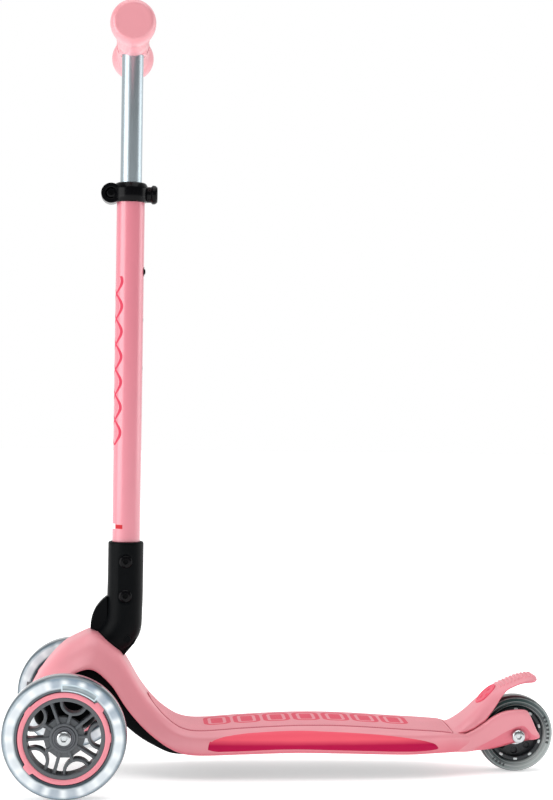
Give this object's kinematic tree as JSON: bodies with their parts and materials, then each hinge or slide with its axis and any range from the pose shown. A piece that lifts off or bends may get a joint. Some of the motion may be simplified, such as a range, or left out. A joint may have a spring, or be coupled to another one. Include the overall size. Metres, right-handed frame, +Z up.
{
  "type": "three-wheeled kick scooter",
  "caption": "Child's kick scooter with two wide-set front wheels, a low curved deck, a rear foot brake and a folding, height-adjustable T-bar.",
  "frame": {"origin": "on the ground under the middle of the scooter's length and width", "axes": "-X is the direction of travel, +Y the rider's right, +Z up"},
  "size_m": [0.5674, 0.28, 0.7775],
  "materials": {
    "pink_shell": "satin",
    "pad_pink": "dotted",
    "deep_pink": "satin",
    "pink_paint": "satin",
    "pink_brake": "satin",
    "black_plastic": "satin",
    "grip_rubber": "fine texture",
    "clear_tyre": "translucent",
    "smoke_tyre": "translucent",
    "grey_plastic": "satin",
    "light_module": "gloss",
    "silver_tube": "brushed",
    "cast_metal": "cast",
    "steel": "zinc plated"
  },
  "bodies": {
    "deck": {"deck_shell": "pink_shell", "deck_pad": "pad_pink", "side_trim_left": "deep_pink", "side_trim_right": "deep_pink", "under_frame": "black_plastic", "under_screws": "steel", "fold_base": "cast_metal", "fold_pin": "steel", "fold_catch": "steel", "kingpin_bolt": "steel", "kingpin_nut": "steel", "steering_lock_spring": "steel", "rear_axle_bolt": "steel", "rear_axle_nut": "steel", "rear_axle_spacers": "steel", "brake_pin": "steel", "brake_spring": "steel"},
    "truck": {"truck_beam": "black_plastic", "truck_bush": "black_plastic", "front_axle_bolts": "steel"},
    "wheel_left": {"wheel_left_tyre": "clear_tyre", "wheel_left_light": "light_module", "wheel_left_ring": "deep_pink", "wheel_left_hub": "grey_plastic", "wheel_left_bearings": "steel", "wheel_left_spacer": "steel"},
    "wheel_right": {"wheel_right_tyre": "clear_tyre", "wheel_right_light": "light_module", "wheel_right_ring": "deep_pink", "wheel_right_hub": "grey_plastic", "wheel_right_bearings": "steel", "wheel_right_spacer": "steel"},
    "wheel_rear": {"wheel_rear_tyre": "smoke_tyre", "wheel_rear_hub": "grey_plastic", "wheel_rear_bearings": "steel", "wheel_rear_spacer": "steel"},
    "brake": {"brake_lever": "pink_brake", "brake_badge": "deep_pink"},
    "stem": {"stem_elbow": "black_plastic", "stem_bolts": "steel", "outer_tube": "pink_paint", "guide_bush": "black_plastic", "clamp_collar": "black_plastic", "clamp_bolt": "steel", "clamp_plug": "black_plastic", "fold_button_spring": "steel"},
    "release": {"fold_button": "black_plastic"},
    "handlebar": {"inner_tube": "silver_tube", "crossbar": "silver_tube", "handle_hub": "grip_rubber", "grip_left": "grip_rubber", "grip_right": "grip_rubber", "snap_spring": "steel"},
    "snap": {"snap_button": "steel"},
    "steering_lock": {"steering_lock_button": "black_plastic"}
  },
  "joints": [
    {"name": "truck_lean", "type": "hinge", "parent": "deck", "child": "truck", "pos_m": [-0.21525, 0, 0.055], "axis": [-0.5736, 0, 0.8192], "range_deg": [-12, 12], "stiffness_Nm_per_rad": 60},
    {"name": "wheel_left_spin", "type": "hinge", "parent": "truck", "child": "wheel_left", "pos_m": [-0.22325, -0.126, 0.0605], "axis": [0, 1, 0], "continuous": true},
    {"name": "wheel_right_spin", "type": "hinge", "parent": "truck", "child": "wheel_right", "pos_m": [-0.22325, 0.126, 0.0605], "axis": [0, 1, 0], "continuous": true},
    {"name": "wheel_rear_spin", "type": "hinge", "parent": "deck", "child": "wheel_rear", "pos_m": [0.24375, 0, 0.04], "axis": [0, 1, 0], "continuous": true},
    {"name": "brake_press", "type": "hinge", "parent": "deck", "child": "brake", "pos_m": [0.187, 0, 0.038], "axis": [0, 1, 0], "range_deg": [0, 2.9], "stiffness_Nm_per_rad": 5, "springref_deg": -3.44, "deforming": ["brake_spring"]},
    {"name": "stem_fold", "type": "hinge", "parent": "deck", "child": "stem", "pos_m": [-0.164, 0, 0.139], "axis": [0, 1, 0], "range_deg": [0, 92]},
    {"name": "release_press", "type": "slide", "parent": "stem", "child": "release", "axis": [1, 0, 0], "range_m": [0, 0.004], "stiffness_N_per_m": 900, "springref_m": -0.003, "deforming": ["fold_button_spring"]},
    {"name": "handlebar_height", "type": "slide", "parent": "stem", "child": "handlebar", "axis": [0, 0, 1], "range_m": [-0.1, 0], "deforming": ["snap_button", "snap_spring"]},
    {"name": "snap_press", "type": "slide", "parent": "handlebar", "child": "snap", "axis": [-1, 0, 0], "range_m": [0, 0.0042], "stiffness_N_per_m": 1500, "springref_m": -0.001, "deforming": ["snap_spring"]},
    {"name": "steering_lock_press", "type": "slide", "parent": "deck", "child": "steering_lock", "axis": [1, 0, 0], "range_m": [0, 0.005], "stiffness_N_per_m": 900, "springref_m": -0.003, "deforming": ["steering_lock_spring"]}
  ]
}
